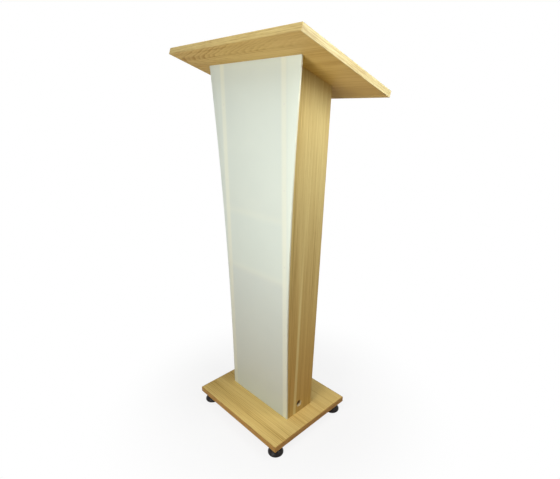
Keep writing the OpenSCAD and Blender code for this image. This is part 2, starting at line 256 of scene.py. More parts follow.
# Fibres are finer than a picture shows, so they are drawn about 2 mm wide
FIBRES = Blotch(170.0, 2.2, 4.0, 0.50)
# Bundles of fibres about 8 mm wide show as long streaks
BUNDLES = Blotch(420.0, 8.0, 2.0, 0.35)
# The print changes tone over about 45 mm
TONE = Blotch(650.0, 45.0, 1.0, 0.50)
# Pores are slits 0.3 mm wide, drawn at 1.2 mm so that they show
PORES = Blotch(22.0, 1.2, 1.0)
# Growth rings sway from side to side over about 30 mm
SWAY = Blotch(260.0, 30.0, 3.0)
# Lines printed on an edge strip are under 1 mm apart, and are drawn 2.5 mm wide so that they show
STRIP_LINES = Blotch(120.0, 2.5, 3.0)
# Flecks between those lines are as fine, and are drawn 1.5 mm wide
STRIP_FLECKS = Blotch(22.0, 1.5, 1.0, 0.4, 0.5)


@dataclass(frozen=True)
class Bore:
    """A hole through a board along X that shows the chipboard inside, with painted shade deeper in, in
    millimetres.
    """

    y: float
    z: float
    radius: float
    mouth_x: float = COLUMN_W / 2
    margin: float = 0.08
    chip: float = 2.0
    chip_tones: Stops = ((0.0, "#dcc48f"), (0.5, "#f0dfb2"), (1.0, "#faf0d2"))
    deep_shade: str = "#3a2411"
    deep_shade_share: float = 0.9
    deep_shade_span: Pair = (10.0, 6.0)

    def line(self, add: Add, place: Socket, colour: Socket) -> Socket:
        """Shows the pressed wood chips on the wall of the bore, and paints shade deeper in.

        Args:
            add: Adds a node.
            place: Object coordinates.
            colour: Colour of the board's face.

        Returns:
            Colour with the chips and the painted shade inside the bore.
        """
        flat = add(VECTOR_MATH, place, (0.0, 1.0, 1.0), operation="MULTIPLY")
        radius = add(VECTOR_MATH, flat, (0.0, self.y * MM, self.z * MM), operation="DISTANCE")
        inside = add("LESS_THAN", radius, (self.radius + self.margin) * MM)
        # Chips are 1 to 3 mm long
        chips = add("ShaderNodeTexVoronoi", place, 1 / (self.chip * MM)).node.outputs["Color"]
        tint = add(RAMP, chips, ramp=self.chip_tones)
        # Painted shade: the wall is painted dark from about 8 mm in, where little light reaches
        dark, clean = ((self.mouth_x - depth) * MM for depth in self.deep_shade_span)
        deep_shade_mask = add(MAP_RANGE, add(SPLIT, place), dark, clean, self.deep_shade_share, 0.0, **SOFT)
        tint = add(MIX, deep_shade_mask, tint, self.deep_shade, **COLOUR)
        return add(MIX, inside, colour, tint, **COLOUR)


@dataclass(frozen=True)
class PaleStreak:
    """A line of pale sapwood along the grain that narrows and fades out, in millimetres."""

    across: float
    width: float
    fade_from: float
    fade_to: float
    tone: str = "#ecde9c"
    share: float = 0.85
    soft_edge: Pair = (0.45, 1.25)

    def lay(self, add: Add, board: Socket, colour: Socket) -> Socket:
        """Lays the streak over a colour.

        Args:
            add: Adds a node.
            board: Coordinates in millimetres, with the grain along X.
            colour: Colour under the streak.

        Returns:
            Colour with the streak.
        """
        along, across, _ = add(SPLIT, board).node.outputs
        away = add("SUBTRACT", across, self.across)
        apart = add("ABSOLUTE", away)
        # The streak is half as wide where it ends
        half = add(MAP_RANGE, along, 0.0, self.fade_to, self.width / 2, self.width / 4)
        reach = add("DIVIDE", apart, half)
        core = add(MAP_RANGE, reach, *self.soft_edge, self.share, 0.0, **SOFT)
        fade = add(MAP_RANGE, along, self.fade_from, self.fade_to, 1.0, 0.0, **SOFT)
        share = add("MULTIPLY", core, fade)
        return add(MIX, share, colour, self.tone, **COLOUR)


@dataclass(frozen=True)
class OakMelamine:
    """Oak-pattern melamine pressed on chipboard: printed growth rings, fibres and pores under a matt skin."""

    name: str
    grain: Grain
    heart: Pair
    tones: tuple[str, str, str] = UPRIGHT_OAK
    tone_places: Triple = (0.57, 0.77, 0.94)
    pore_tone: str = "#94713c"
    pore_span: Pair = (0.58, 0.74)
    pore_share: float = 0.28
    late_pores: float = 0.35
    taper: float = 0.01
    ring: float = 6.0
    ring_depth: float = 0.16
    ring_line: Pair = (0.18, 0.93)
    pale_year: float = 0.35
    wander: float = 5.0
    seed: float = 0.0
    calm_from: float = 900.0
    calm_over: float = 300.0
    calm_share: float = 0.25
    shaded_foot: bool = False
    foot_shade: str = "#fbecd2"
    foot_shade_reach: Pair = (150.0, 700.0)
    depth_span: Pair = (0.4, 1.1)
    sheen: Pair = (0.56, 0.66)
    dents: float = 0.25
    relief: float = 0.15
    bore: Bore | None = None
    streak: PaleStreak | None = None

    def material(self) -> Material:
        """Makes the material.

        Returns:
            A matt oak whose grain runs as asked.
        """
        material, add, place = new_material(self.name)
        board = self.grain.lay(add, place)
        rings = self._rings(add, board)
        depth = add("MULTIPLY", rings, self.ring_depth)
        for layer in (FIBRES, BUNDLES, TONE):
            noise = layer.noise(add, board, self.seed)
            depth = add("MULTIPLY_ADD", noise, layer.weight, depth)
        colour = add(RAMP, depth, ramp=tuple(zip(self.tone_places, self.tones)))
        # Pores crowd along the rings, where each year's wood begins
        slits = add(MAP_RANGE, PORES.noise(add, board, self.seed), *self.pore_span, 0.0, self.pore_share)
        early = add(MAP_RANGE, rings, 0.0, 1.0, self.late_pores, 1.0)
        slits = add("MULTIPLY", slits, early)
        colour = add(MIX, slits, colour, self.pore_tone, **COLOUR)
        if self.shaded_foot:
            # Painted shade: the print is painted slowly darker and browner towards the foot, for the weaker
            # light low down
            low, high = (height * MM for height in self.foot_shade_reach)
            height = add(SPLIT, place).node.outputs["Z"]
            share = add(MAP_RANGE, height, low, high, 1.0, 0.0, **SOFT)
            colour = add(MIX, share, colour, self.foot_shade, **COLOUR, blend_type="MULTIPLY")
        if self.streak:
            colour = self.streak.lay(add, board, colour)
        if self.bore:
            colour = self.bore.line(add, place, colour)
        dents = add("ADD", depth, slits)
        return coat(material, {
            "Base Color": colour,
            "Roughness": add(MAP_RANGE, depth, *self.depth_span, *self.sheen),
            "IOR": 1.5,
            "Specular IOR Level": MATT_FOIL,
        }, dents, self.dents, self.relief, sunk=True)

    def _rings(self, add: Add, board: Socket) -> Socket:
        """Draws the growth rings where the board cuts a tapering log.

        Args:
            add: Adds a node.
            board: Coordinates in millimetres, with the grain along X.

        Returns:
            Darkness from 0 to 1, which starts sharply at each ring and fades.
        """
        along = add(SPLIT, board)
        from_heart = add(VECTOR_MATH, board, (0.0, *self.heart), operation="SUBTRACT")
        across = add(VECTOR_MATH, from_heart, (0.0, 1.0, 1.0), operation="MULTIPLY")
        radius = add(VECTOR_MATH, across, operation="LENGTH")
        cone = add("MULTIPLY_ADD", along, -self.taper, radius)
        sway = SWAY.noise(add, board, self.seed)
        wavy = add("MULTIPLY_ADD", sway, self.wander / NOISE_STRAY, cone)
        count = add("DIVIDE", wavy, self.ring)
        part = add("FRACT", count)
        start = add(MAP_RANGE, part, 0.0, self.ring_line[0], 0.0, 1.0)
        fade = add(MAP_RANGE, part, *self.ring_line, 1.0, 0.0)
        line = add("MINIMUM", fade, start)
        # Some years leave a darker line than others
        year = add("FLOOR", count)
        draw = add("ADD", year, self.seed)
        chance = add("ShaderNodeTexWhiteNoise", draw, noise_dimensions="1D")
        strength = add(MAP_RANGE, chance, 0.0, 1.0, self.pale_year, 1.0)
        drawn = add("MULTIPLY", line, strength)
        # Past a point along the grain the lines grow fainter
        faint = add(MAP_RANGE, along, self.calm_from, self.calm_from + self.calm_over, 1.0, self.calm_share)
        return add("MULTIPLY", drawn, faint)


@dataclass(frozen=True)
class OakEdging:
    """Plastic edge strip printed as pale oak: straight fine lines along its length, a little glossier."""

    name: str
    grain: Grain
    tones: tuple[str, str, str] = PALE_STRIP
    tone_places: Triple = (0.45, 0.70, 0.95)
    depth_span: Pair = (0.4, 1.0)
    sheen: Pair = (0.48, 0.58)
    dents: float = 0.2
    relief: float = 0.1

    def material(self) -> Material:
        """Makes the material.

        Returns:
            A pale oak strip whose lines run as asked.
        """
        material, add, place = new_material(self.name)
        strip = self.grain.lay(add, place)
        lines, flecks = (layer.noise(add, strip) for layer in (STRIP_LINES, STRIP_FLECKS))
        depth = add("MULTIPLY_ADD", flecks, STRIP_FLECKS.weight, lines)
        return coat(material, {
            "Base Color": add(RAMP, depth, ramp=tuple(zip(self.tone_places, self.tones))),
            "Roughness": add(MAP_RANGE, depth, *self.depth_span, *self.sheen),
            "IOR": 1.53,
            "Specular IOR Level": MATT_FOIL,
        }, depth, self.dents, self.relief, sunk=True)


@dataclass(frozen=True)
class OpalAcrylic:
    """Cast opal acrylic with a satin face: milky and faintly green, with painted light and shade from what
    lies behind it.
    """

    panel_x: float
    shelf_z: Pair
    half: float = BOARD_T / 2
    name: str = "cast opal acrylic, satin"
    top_tone: str = "#e6f1e6"
    middle_shade_tone: str = "#e5f1e7"
    low_shade_tone: str = "#e0ebe3"
    milk: str = "#c6d6d1"
    milk_share: float = 0.12
    cloud: float = 120.0
    detail: float = 2.0
    backed_light: str = "#f4fbe9"
    panel_glow: Pair = (5.0, 0.85)
    shelf_glow: Pair = (13.0, 0.26)
    lit_wing: str = "#f0fbed"
    wing_edge: Pair = (-4.0, 8.0)
    wing_share: float = 0.9
    sawn_edge: str = "#e8ead4"
    sawn_span: Pair = (0.3, 0.9)
    etching: float = 1.5
    sheen: Pair = (0.46, 0.54)
    dents: float = 0.05
    relief: float = 0.05
    clear: float = 0.07

    def material(self) -> Material:
        """Makes the material.

        Returns:
            A milky sheet that lets a little light through.
        """
        material, add, place = new_material(self.name)
        x, _, z = add(SPLIT, place).node.outputs
        # Painted shade: each compartment behind the sheet is darker than the one above, so the sheet is
        # painted a step darker below each shelf
        colour: Socket | str = self.low_shade_tone
        for height, tone in zip(self.shelf_z, (self.middle_shade_tone, self.top_tone)):
            under, over = (height - self.half) * MM, (height + self.half) * MM
            above = add(MAP_RANGE, z, under, over, **SOFT)
            colour = add(MIX, above, colour, tone, **COLOUR)
        # Pigment settles in soft clouds as the sheet cures
        clouds = add(NOISE, place, 1 / (self.cloud * MM), self.detail)
        share = add(MAP_RANGE, clouds, *NOISE_SPAN, 0.0, self.milk_share)
        colour = add(MIX, share, colour, self.milk, **COLOUR)
        # Panel edges touch the back and show clearly, and the shelves stand a little off and show faintly:
        # painted light, as strips painted creamier and brighter for the wood behind and the light it throws
        # back through the sheet
        side = add("ABSOLUTE", x)
        colour = self._backed(add, colour, side, self.panel_x, self.half, *self.panel_glow)
        for height in self.shelf_z:
            colour = self._backed(add, colour, z, height, self.half, *self.shelf_glow)
        # Nothing lies behind the wings, and light from the right and behind comes through the right one
        inner, outer = ((self.panel_x + self.half + edge) * MM for edge in self.wing_edge)
        through = add(MAP_RANGE, x, inner, outer, 0.0, self.wing_share, **SOFT)
        colour = add(MIX, through, colour, self.lit_wing, **COLOUR)
        # Sawn edges are a little creamier than the face
        sideways = add(SPLIT, add("ShaderNodeNewGeometry").node.outputs["Normal"])
        steep = add("ABSOLUTE", sideways)
        sawn = add(MAP_RANGE, steep, *self.sawn_span)
        # The satin face is etched to 0.1 mm, and is drawn coarser so that it shows
        etch = add(NOISE, place, 1 / (self.etching * MM), self.detail)
        return coat(material, {
            "Base Color": add(MIX, sawn, colour, self.sawn_edge, **COLOUR),
            "Roughness": add(MAP_RANGE, etch, *NOISE_SPAN, *self.sheen),
            "IOR": 1.49,
            "Transmission Weight": self.clear,
        }, etch, self.dents, self.relief)

    def _backed(
        self, add: Add, colour: Socket, along: Socket,
        middle: float, half: float, blur: float, share: float,
    ) -> Socket:
        """Paints a strip with wood behind it warmer and brighter, for the wood's colour and the light it
        throws back through the sheet.

        Args:
            add: Adds a node.
            colour: Colour of the sheet.
            along: Coordinate across the strip, in metres.
            middle: Strip's middle in millimetres.
            half: Half of its width.
            blur: Width of its soft edge.
            share: Share of the painted warm, bright colour.

        Returns:
            Colour with the strip.
        """
        off = add("SUBTRACT", along, middle * MM)
        away = add("ABSOLUTE", off)
        mask = add(MAP_RANGE, away, (half - blur) * MM, (half + blur) * MM, share, 0.0, **SOFT)
        return add(MIX, mask, colour, self.backed_light, **COLOUR)


@dataclass(frozen=True)
class FineSkin:
    """A finish whose fine grit tints it and may dull and dent it, in millimetres.

    A pair of roughnesses follows the grit, and a single one is the same all over.
    """

    name: str
    tones: Stops
    grit: float
    detail: float
    roughness: float | Pair
    dents: float = 0.0
    relief: float = 0.0
    metallic: float = 0.0
    ior: float = 1.5
    specular: float = 0.5

    def material(self) -> Material:
        """Makes the material.

        Returns:
            A surface with a fine uneven skin.
        """
        material, add, place = new_material(self.name)
        skin = add(NOISE, place, 1 / (self.grit * MM), self.detail)
        dull: Any = self.roughness
        if isinstance(dull, tuple):
            dull = add(MAP_RANGE, skin, *NOISE_SPAN, *dull)
        return coat(material, {
            "Base Color": add(RAMP, skin, ramp=self.tones),
            "Roughness": dull,
            "Metallic": self.metallic,
            "IOR": self.ior,
            "Specular IOR Level": self.specular,
        }, skin, self.dents, self.relief)


# Steel with baked white lacquer, as on screws for pale sheets: warm white and softly glossy, with orange
# peel about 1 mm across
WHITE_LACQUER = FineSkin(
    "white-lacquered steel", ((0.0, "#f1f6ea"), (1.0, "#e8eee1")), 1.0, 1.0, 0.32, 0.2, 0.03
)
# Zinc-plated steel: a clean bright skin, whose faint grain under 0.1 mm is drawn at 1.2 mm to show
ZINC_PLATE = FineSkin(
    "zinc-plated steel", ((0.0, "#c3c6ca"), (1.0, "#a9adb2")), 1.2, 3.0, (0.24, 0.38), 0.3, 0.02,
    metallic=1.0,
)
# Zinc from a steel mould: greyer and duller, with a coarser grain, drawn at 1.6 mm to show
CAST_ZINC = FineSkin(
    "zinc alloy, die-cast", ((0.0, "#b6b8ba"), (1.0, "#999ca0")), 1.6, 3.0, (0.36, 0.52), 0.3, 0.06,
    metallic=1.0,
)
# Beech rod for dowels: close pale pinkish wood with short dark flecks 0.5 mm wide, drawn at 1 mm
TURNED_BEECH = FineSkin(
    "beech, turned", ((0.35, "#e0c394"), (0.6, "#d5b482"), (0.8, "#b98f5f")), 1.0, 2.0, 0.6
)
# Black nylon from a lightly textured mould: nearly black, with a soft broad highlight. The mould's spark
# texture is 0.2 mm and drawn at 0.8 mm
MOULDED_NYLON = FineSkin(
    "black nylon, moulded", ((0.0, "#15100f"), (1.0, "#1e1816")), 0.8, 2.0, (0.36, 0.46), 0.15, 0.05,
    ior=1.53, specular=0.2,
)


def dress(finish: OakMelamine | OakEdging | FineSkin, *nodes: str) -> None:
    """Gives CAD nodes their finish.

    Args:
        finish: Finish for all faces.
        nodes: CAD nodes' names.
    """
    material = finish.material()
    for node in nodes:
        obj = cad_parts[node]
        if not obj.material_slots:
            obj.data.materials.append(material)
        for slot in obj.material_slots:
            slot.material = material
        LOG.info("%s: %s", node, material.name)


def put(name: str, data: Any) -> bpy.types.Object:
    """Puts a new object in the scene.

    Args:
        name: Object's name.
        data: Mesh, lamp or camera that it holds.

    Returns:
        The object.
    """
    obj = bpy.data.objects.new(name, data)
    SCENE.collection.objects.link(obj)
    return obj


def new_piece(name: str, mesh: Mesh, body: str, node: str) -> None:
    """Puts a finished mesh in the scene in place of a CAD node.

    Args:
        name: Piece's name.
        mesh: Mesh in the CAD frame, with its material.
        body: CAD body that the piece moves with.
        node: CAD node that the piece stands for.
    """
    mesh.name = name
    piece = put(name, mesh)
    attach(piece, body)
    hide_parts(node)
    LOG.info("%s: %d faces on %s", name, len(mesh.polygons), body)


def smooth(mesh: Mesh, crease: float = SHARP_FROM) -> None:
    """Shades a mesh smooth but for its sharp edges.

    Args:
        mesh: Mesh to shade.
        crease: Angle in degrees past which an edge stays sharp.
    """
    mesh.shade_smooth()
    mesh.set_sharp_from_angle(angle=math.radians(crease))


def grow(tree: NodeTree, sizes: dict[str, float], material: Material, arris: float = 0.0) -> Mesh:
    """Runs a Geometry Nodes tree and turns its result into a plain mesh.

    Args:
        tree: Tree with named inputs.
        sizes: Lengths for those inputs, in millimetres.
        material: Finish for all faces.
        arris: Width of a bevel along sharp edges, in millimetres.

    Returns:
        The mesh, smooth but for its sharp edges.
    """
    carrier = put("carrier", bpy.data.meshes.new("carrier"))
    modifier = carrier.modifiers.new("grow", "NODES")
    modifier.node_group = tree
    values = {name: size * MM for name, size in sizes.items()} | {"Material": material}
    for item in tree.interface.items_tree:
        if item.in_out == "INPUT":
            modifier[item.identifier] = values[item.name]
    if arris:
        bevel = carrier.modifiers.new("arris", "BEVEL")
        bevel.width = arris * MM
        bevel.segments = 2
        bevel.limit_method = "ANGLE"
        bevel.angle_limit = math.radians(BEVEL_FROM)
    shown = carrier.evaluated_get(bpy.context.evaluated_depsgraph_get())
    mesh = bpy.data.meshes.new_from_object(shown)
    bpy.data.objects.remove(carrier)
    smooth(mesh)
    return mesh


def new_tree(name: str, sizes: Iterable[str]) -> tuple[Add, Any]:
    """Starts a Geometry Nodes tree with named sizes and a material.

    Args:
        name: Tree's name.
        sizes: Names of its inputs that are lengths.

    Returns:
        A function that adds nodes to it, and the sockets that give its inputs by name.
    """
    tree = bpy.data.node_groups.new(name, "GeometryNodeTree")
    for size in sizes:
        tree.interface.new_socket(size, in_out="INPUT", socket_type="NodeSocketFloat")
    tree.interface.new_socket("Material", in_out="INPUT", socket_type="NodeSocketMaterial")
    tree.interface.new_socket("Geometry", in_out="OUTPUT", socket_type="NodeSocketGeometry")
    add = partial(add_node, tree)
    return add, add("NodeGroupInput").node.outputs


def close_tree(add: Add, size: Any, shape: Socket) -> NodeTree:
    """Ends a Geometry Nodes tree with real geometry in its material.

    Args:
        add: Adds a node.
        size: Sockets that give its inputs.
        shape: Geometry so far.

    Returns:
        The tree.
    """
    real = add("GeometryNodeRealizeInstances", shape)
    add("NodeGroupOutput", add("GeometryNodeSetMaterial", real, into={"Material": size["Material"]}))
    return shape.id_data


def lathe(
    shell: bmesh.types.BMesh, profile: list[Pair], centre: Pair, steps: int, flats: float = math.inf
) -> None:
    """Turns a profile round an upright axis into a closed shell, with six flats if asked.

    Args:
        shell: Mesh that it goes into, in metres.
        profile: Radius and height pairs in millimetres, from the axis back to the axis.
        centre: Place of the axis in millimetres.
        steps: Facets of a full turn.
        flats: Distance of the six flats from the axis.
    """
    rings: list[list[bmesh.types.BMVert]] = []
    for limit, height in profile:
        ring = []
        for i in range(steps if limit > ON_AXIS else 1):
            turn = 2 * math.pi * i / steps
            radius = min(limit, flats / math.cos(turn % (math.pi / 3) - math.pi / 6))
            x, y = centre[0] + radius * math.cos(turn), centre[1] + radius * math.sin(turn)
            ring.append(shell.verts.new((x * MM, y * MM, height * MM)))
        rings.append(ring)
    for low, high in zip(rings, rings[1:]):
        for i in range(steps):
            j = (i + 1) % steps
            corners = [low[i % len(low)], low[j % len(low)], high[j % len(high)], high[i % len(high)]]
            face = list(dict.fromkeys(corners))
            if len(face) > 2:
                shell.faces.new(face)
    bmesh.ops.recalc_face_normals(shell, faces=shell.faces)


def arc(centre: Pair, radius: float, start: float, end: float, steps: int) -> list[Pair]:
    """Gives points along an arc of a profile.

    Args:
        centre: Radius and height of the arc's centre.
        radius: Arc's radius.
        start: First angle in degrees, from outwards to upwards.
        end: Last angle in degrees.
        steps: Number of parts.

    Returns:
        Radius and height pairs.
    """
    angles = [math.radians(start + (end - start) * i / steps) for i in range(steps + 1)]
    return [(max(0.0, centre[0] + radius * math.cos(a)), centre[1] + radius * math.sin(a)) for a in angles]


@dataclass
class EdgedBoard:
    """A board with an edge strip on each of its four sides."""

    name: str
    face: OakMelamine
    end_strip: OakEdging
    side_strip: OakEdging

    def build(self) -> None:
        """Dresses the board and its strips."""
        dress(self.face, f"{self.name}_board")
        dress(self.end_strip, *(f"{self.name}_{end}_edging" for end in ENDS))
        dress(self.side_strip, *(f"{self.name}_{side}_edging" for side in SIDES))


TOP_BOARD = EdgedBoard(
    "top",
    OakMelamine(
        "oak melamine, top board", Grain.ACROSS_SLOPE, (-492.0, 976.0), TOP_OAK,
        taper=0.2, ring=5.2, ring_depth=0.27, wander=4.0, seed=2.0, calm_from=-90.0,
    ),
    OakEdging("oak edge strip, across the top", Grain.ACROSS_SLOPE),
    OakEdging("oak edge strip, down the slope", Grain.DOWN_SLOPE, LIT_SIDE_STRIP),
)
BASE_BOARD = EdgedBoard(
    "base",
    OakMelamine(
        "oak melamine, base", Grain.ACROSS, (-420.0, -60.0), LIT_BASE_OAK,
        taper=0.012, ring=5.5, wander=4.0, seed=3.7,
    ),
    OakEdging("oak edge strip, across the base", Grain.ACROSS, SHADED_BASE_STRIP),
    OakEdging("oak edge strip, front to rear", Grain.DEEP, SHADED_BASE_STRIP),
)


@dataclass
class SidePanels:
    """The two side panels with their front and rear edge strips, and the cable hole in the right one."""

    right: OakMelamine = OakMelamine(
        "oak melamine, right panel", Grain.LEANING, (-320.0, -90.0),
        taper=-0.01, ring=5.0, wander=4.0, seed=1.3, shaded_foot=True,
        bore=Bore(-23.195, 80.0, 11.0), streak=PaleStreak(-48.0, 15.0, 330.0, 680.0),
    )
    left: OakMelamine = OakMelamine(
        "oak melamine, left panel", Grain.LEANING, (10.0, 160.0),
        taper=0.06, ring=5.0, seed=5.1, shaded_foot=True,
    )
    strip: OakEdging = OakEdging("oak edge strip, upright", Grain.UPRIGHT)

    def build(self) -> None:
        """Dresses both panels and their strips."""
        dress(self.right, "right_side_panel")
        dress(self.left, "left_side_panel")
        dress(self.strip, *(f"{side}_panel_{end}_edging" for side in SIDES for end in ENDS))


@dataclass
class Shelves:
    """The two inner shelves with their rear edge strips."""

    face: OakMelamine = OakMelamine("oak melamine, shelf", Grain.ACROSS, (160.0, 560.0), taper=0.03, seed=7.9)
    strip: OakEdging = OakEdging("oak edge strip, shelf", Grain.ACROSS)

    def build(self) -> None:
        """Dresses both shelves and their strips."""
        dress(self.face, "lower_shelf", "upper_shelf")
        dress(self.strip, "lower_shelf_edging", "upper_shelf_edging")


@dataclass
class FrontSheet:
    """The opal sheet, whose sides start upright and then curve out, and its two rows of screws."""

    thickness: float = 5.0
    height: float = 1052.0
    top_width: float = 366.0
    straight: float = 140.0
    arris: float = 0.5
    columns: int = 13
    lines: int = 121
    panel_x: float = (COLUMN_W - BOARD_T) / 2
    shelf_z: Pair = (510.0, 690.0)
    rows: int = 5
    first_row: float = 83.0
    last_drop: float = 107.0
    head_d: float = 5.6
    head_rise: float = 0.35
    crown_share: float = 0.72
    recess_length: float = 1.15
    recess_width: float = 0.26
    shank_d: float = 3.0
    screw_l: float = 25.0
    facets: int = 32
    seed: int = 7

    def build(self) -> None:
        """Makes the sheet and its screws."""
        new_piece("front_sheet_satin", self._sheet(), LECTERN, "front_sheet")
        new_piece("front_sheet_screw_rows", self._screws(), LECTERN, "front_sheet_screws")

    def _sheet(self) -> Mesh:
        """Bends a unit slab to the sheet's outline.

        Returns:
            The sheet with its edges eased.
        """
        flare = (self.top_width - COLUMN_W) / 2
        curve_h = self.height - self.straight
        sizes = {
            "Foot Width": COLUMN_W,
            "Height": self.height,
            "Straight Height": self.straight,
            "Side Radius": (curve_h ** 2 + flare ** 2) / (2 * flare),
            "Thickness": self.thickness,
            "Top Drop": self.thickness * math.tan(math.radians(TOP_TILT)),
            "Face Y": SHEET_FACE_Y,
            "Foot Z": BASE_TOP_Z,
        }
        add, size = new_tree("curved_front_sheet", sizes)
        slab = add("GeometryNodeMeshCube", (2.0, 1.0, 1.0), self.columns, 2, self.lines)
        point = add("GeometryNodeInputPosition")
        share = add(VECTOR_MATH, point, (0.0, 0.5, 0.5), operation="ADD")
        across, inward, up = add(SPLIT, share).node.outputs
        # Depth behind the face, then height under the sloping top at that depth
        depth = add("MULTIPLY", inward, size["Thickness"])
        drop = add("MULTIPLY", inward, size["Top Drop"])
        full = add("SUBTRACT", size["Height"], drop)
        height = add("MULTIPLY", full, up)
        # Half width: upright at first, then an arc that leaves the upright at a tangent
        above = add("SUBTRACT", height, size["Straight Height"])
        rise = add("MAXIMUM", above, 0.0)
        rise_2 = add("MULTIPLY", rise, rise)
        radius = size["Side Radius"]
        radius_2 = add("MULTIPLY", radius, radius)
        chord_2 = add("SUBTRACT", radius_2, rise_2)
        chord = add("SQRT", chord_2)
        swell = add("SUBTRACT", radius, chord)
        half = add("MULTIPLY_ADD", size["Foot Width"], 0.5, swell)
        x = add("MULTIPLY", across, half)
        y = add("ADD", depth, size["Face Y"])
        z = add("ADD", height, size["Foot Z"])
        place = add(COMBINE, x, y, z)
        bent = add("GeometryNodeSetPosition", slab, into={"Position": place})
        opal = OpalAcrylic(self.panel_x, self.shelf_z)
        return grow(close_tree(add, size, bent), sizes, opal.material(), self.arris)

    def _screws(self) -> Mesh:
        """Sets one countersunk screw on each point of both rows, each turned by chance.

        Returns:
            All the screws.
        """
        sizes = {
            "Half Spacing": self.panel_x,
            "Face Y": SHEET_FACE_Y,
            "First Z": BASE_TOP_Z + self.first_row,
            "Pitch": (self.height - self.first_row - self.last_drop) / (self.rows - 1),
            "Head Radius": self.head_d / 2,
            "Shank Radius": self.shank_d / 2,
            "Head Depth": (self.head_d - self.shank_d) / 2,
            "Head Rise": self.head_rise,
            "Length": self.screw_l,
        }
        add, size = new_tree("sheet_screw_rows", sizes)
        rows = []
        step = add(COMBINE, into={"Z": size["Pitch"]})
        for side in (-1.0, 1.0):
            across = add("MULTIPLY", size["Half Spacing"], side)
            start = add(COMBINE, across, size["Face Y"], size["First Z"])
            rows.append(add("GeometryNodeMeshLine", self.rows, start, step, mode="OFFSET"))
        points = add("GeometryNodeJoinGeometry", rows)
        # One screw, its axis along Z with the head at the top
        head_r, shank_r = size["Head Radius"], size["Shank Radius"]
        sunk = add("GeometryNodeMeshCone", self.facets, into={
            "Radius Top": head_r, "Radius Bottom": shank_r, "Depth": size["Head Depth"],
        })
        drop = add("MULTIPLY", size["Head Depth"], -1.0)
        sunk = add("GeometryNodeTransform", sunk, add(COMBINE, into={"Z": drop}))
        crown = add("GeometryNodeMeshCone", self.facets, into={
            "Radius Top": add("MULTIPLY", head_r, self.crown_share),
            "Radius Bottom": head_r,
            "Depth": size["Head Rise"],
        })
        rod = {"Radius": shank_r, "Depth": size["Length"]}
        shank = add("GeometryNodeMeshCylinder", self.facets, into=rod)
        middle = add("MULTIPLY", size["Length"], -0.5)
        shank = add("GeometryNodeTransform", shank, add(COMBINE, into={"Z": middle}))
        blank = add("GeometryNodeMeshBoolean", [sunk, crown, shank], operation="UNION")
        # Two crossed bars cut the recess for the driver
        long = add("MULTIPLY", head_r, self.recess_length)
        wide = add("MULTIPLY", head_r, self.recess_width)
        boxes = [add(COMBINE, *sides, size["Head Depth"]) for sides in ((long, wide), (wide, long))]
        bars = [add("GeometryNodeMeshCube", box) for box in boxes]
        screw = add("GeometryNodeMeshBoolean", blank, bars, operation="DIFFERENCE")
        quarter = math.pi / 2
        faced = {"Instance": screw, "Rotation": Euler((quarter, 0.0, 0.0))}
        placed = add("GeometryNodeInstanceOnPoints", points, into=faced)
        chance = add("FunctionNodeRandomValue", 0.0, quarter, into={"Seed": self.seed}, data_type="FLOAT")
        roll = add("FunctionNodeEulerToRotation", add(COMBINE, into={"Z": chance}))
        turned = add("GeometryNodeRotateInstances", placed, into={"Rotation": roll, "Local Space": True})
        return grow(close_tree(add, size, turned), sizes, WHITE_LACQUER.material())


@dataclass
class JointFixings:
    """The cam locks, cam bolts, dowels and threaded inserts that hold the boards and the feet."""

    cast: FineSkin = CAST_ZINC
    plated: FineSkin = ZINC_PLATE
    rod: FineSkin = TURNED_BEECH

    def build(self) -> None:
        """Dresses the fixings."""
        dress(self.cast, "panel_cam_locks", "shelf_cam_locks", "foot_inserts")
        dress(self.plated, "panel_cam_bolts", "shelf_cam_bolts")
        dress(self.rod, "panel_dowels", "shelf_dowels")


class FootPlace(Enum):
    """Corner of the base that a foot stands under, with its axis in millimetres."""

    FRONT_LEFT = (-164.0, -156.195)
    FRONT_RIGHT = (164.0, -156.195)
    REAR_LEFT = (-164.0, 107.805)
    REAR_RIGHT = (164.0, 107.805)


